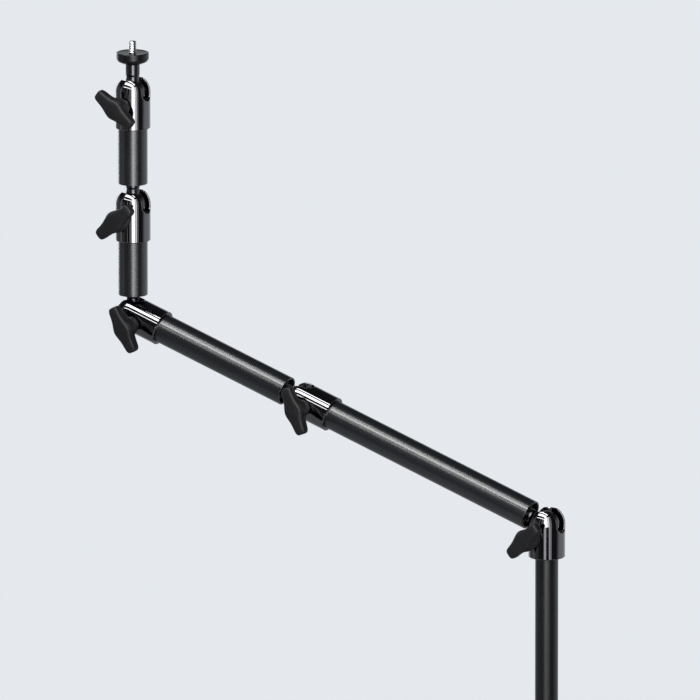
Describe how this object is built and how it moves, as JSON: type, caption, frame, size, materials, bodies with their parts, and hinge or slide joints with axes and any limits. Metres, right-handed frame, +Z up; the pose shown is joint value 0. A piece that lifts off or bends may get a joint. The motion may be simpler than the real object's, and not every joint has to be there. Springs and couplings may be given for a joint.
{
  "type": "c stand",
  "caption": "Low stand on folding stepped legs with a sliding pole and a jointed arm of straight tubes, ball sockets and wing knobs that holds a camera on a screw disc.",
  "frame": {"origin": "on the floor, on the column's axis", "axes": "+Z up along the column; the arm leaves the column towards -X in the XZ plane; the locking knobs face -Y, those of joints 3 and 5 within 10 degrees of it"},
  "size_m": [0.5984, 0.5914, 1.0366],
  "materials": {
    "black_chrome": "polished black chrome",
    "anodised_tube": "satin black anodised",
    "black_pole": "satin black anodised",
    "black_steel": "polished blackened steel",
    "knob_plastic": "fine moulded texture",
    "bright_steel": "machined",
    "nylon": "plain moulded",
    "powder_coat": "fine satin powder coat",
    "foot_rubber": "matte"
  },
  "bodies": {
    "base": {"column": "powder_coat", "column_end_cap": "nylon", "stop_rings": "black_steel", "hub_washers": "nylon", "leg_a_hub": "powder_coat", "leg_a_tube": "powder_coat", "leg_a_foot": "foot_rubber", "collar": "powder_coat", "collar_bush": "nylon"},
    "leg_b": {"leg_b_hub": "powder_coat", "leg_b_tube": "powder_coat", "leg_b_foot": "foot_rubber"},
    "leg_c": {"leg_c_hub": "powder_coat", "leg_c_tube": "powder_coat", "leg_c_foot": "foot_rubber"},
    "collar_knob": {"collar_knob": "knob_plastic", "collar_knob_screw": "bright_steel"},
    "pole": {"pole": "black_pole", "pole_guide": "nylon", "socket_5": "black_chrome", "seat_5": "nylon"},
    "ball_5": {"ball_5": "black_steel"},
    "knob_5": {"knob_5": "knob_plastic", "knob_screw_5": "bright_steel"},
    "ball_4": {"ball_4": "black_steel"},
    "knob_4": {"knob_4": "knob_plastic", "knob_screw_4": "bright_steel"},
    "ball_3": {"ball_3": "black_steel"},
    "knob_3": {"knob_3": "knob_plastic", "knob_screw_3": "bright_steel"},
    "ball_2": {"ball_2": "black_steel"},
    "knob_2": {"knob_2": "knob_plastic", "knob_screw_2": "bright_steel"},
    "ball_1": {"ball_1": "black_steel"},
    "knob_1": {"knob_1": "knob_plastic", "knob_screw_1": "bright_steel"},
    "section_4": {"stud_5": "black_steel", "plug_4": "nylon", "tube_4": "anodised_tube", "socket_4": "black_chrome", "seat_4": "nylon"},
    "section_3": {"stud_4": "black_steel", "plug_3": "nylon", "tube_3": "anodised_tube", "socket_3": "black_chrome", "seat_3": "nylon"},
    "section_2": {"stud_3": "black_steel", "plug_2": "nylon", "tube_2": "anodised_tube", "socket_2": "black_chrome", "seat_2": "nylon"},
    "section_1": {"stud_2": "black_steel", "plug_1": "nylon", "tube_1": "anodised_tube", "socket_1": "black_chrome", "seat_1": "nylon"},
    "head": {"stud_1": "black_steel", "head_disc": "anodised_tube", "camera_screw": "bright_steel"}
  },
  "joints": [
    {"name": "leg_b_swing", "type": "hinge", "parent": "base", "child": "leg_b", "pos_m": [0, 0, 0.076], "axis": [0, 0, 1], "range_deg": [0, 100]},
    {"name": "leg_c_swing", "type": "hinge", "parent": "base", "child": "leg_c", "pos_m": [0, 0, 0.102], "axis": [0, 0, -1], "range_deg": [0, 100]},
    {"name": "pole_height", "type": "slide", "parent": "base", "child": "pole", "axis": [0, 0, 1], "range_m": [-0.12, 0.24]},
    {"name": "collar_knob_turn", "type": "hinge", "parent": "base", "child": "collar_knob", "pos_m": [0, -0.02, 0.482], "axis": [0, -1, 0], "range_deg": [-180, 180]},
    {"name": "joint_5_tilt", "type": "hinge", "parent": "pole", "child": "ball_5", "pos_m": [0, 0, 0.665], "axis": [0, 1, 0], "range_deg": [-18.7, 161.3]},
    {"name": "joint_5_turn", "type": "hinge", "parent": "ball_5", "child": "section_4", "pos_m": [0, 0, 0.665], "axis": [-0.9472, 0, 0.3206], "continuous": true},
    {"name": "knob_5_turn", "type": "hinge", "parent": "pole", "child": "knob_5", "pos_m": [0, 0, 0.655], "axis": [-0.1736, -0.9848, 0], "range_deg": [-180, 180]},
    {"name": "joint_4_tilt", "type": "hinge", "parent": "section_4", "child": "ball_4", "pos_m": [-0.2368, 0, 0.74515], "axis": [0, 1, 0], "range_deg": [-90, 90]},
    {"name": "joint_4_turn", "type": "hinge", "parent": "ball_4", "child": "section_3", "pos_m": [-0.2368, 0, 0.74515], "axis": [-0.9472, 0, 0.3206], "continuous": true},
    {"name": "knob_4_turn", "type": "hinge", "parent": "section_4", "child": "knob_4", "pos_m": [-0.22733, 0, 0.74195], "axis": [0, -1, 0], "range_deg": [-180, 180]},
    {"name": "joint_3_tilt", "type": "hinge", "parent": "section_3", "child": "ball_3", "pos_m": [-0.40256, 0, 0.80126], "axis": [0, 1, 0], "range_deg": [-161.3, 18.7]},
    {"name": "joint_3_turn", "type": "hinge", "parent": "ball_3", "child": "section_2", "pos_m": [-0.40256, 0, 0.80126], "axis": [0, 0, 1], "continuous": true},
    {"name": "knob_3_turn", "type": "hinge", "parent": "section_3", "child": "knob_3", "pos_m": [-0.39309, 0, 0.79805], "axis": [-0.0502, -0.9877, -0.1482], "range_deg": [-180, 180]},
    {"name": "joint_2_tilt", "type": "hinge", "parent": "section_2", "child": "ball_2", "pos_m": [-0.40256, 0, 0.89576], "axis": [0, 1, 0], "range_deg": [-90, 90]},
    {"name": "joint_2_turn", "type": "hinge", "parent": "ball_2", "child": "section_1", "pos_m": [-0.40256, 0, 0.89576], "axis": [0, 0, 1], "continuous": true},
    {"name": "knob_2_turn", "type": "hinge", "parent": "section_2", "child": "knob_2", "pos_m": [-0.40256, 0, 0.88576], "axis": [0, -1, 0], "range_deg": [-180, 180]},
    {"name": "joint_1_tilt", "type": "hinge", "parent": "section_1", "child": "ball_1", "pos_m": [-0.40256, 0, 0.99276], "axis": [0, 1, 0], "range_deg": [-90, 90]},
    {"name": "joint_1_turn", "type": "hinge", "parent": "ball_1", "child": "head", "pos_m": [-0.40256, 0, 0.99276], "axis": [0, 0, 1], "continuous": true},
    {"name": "knob_1_turn", "type": "hinge", "parent": "section_1", "child": "knob_1", "pos_m": [-0.40256, 0, 0.98276], "axis": [0, -1, 0], "range_deg": [-180, 180]}
  ]
}
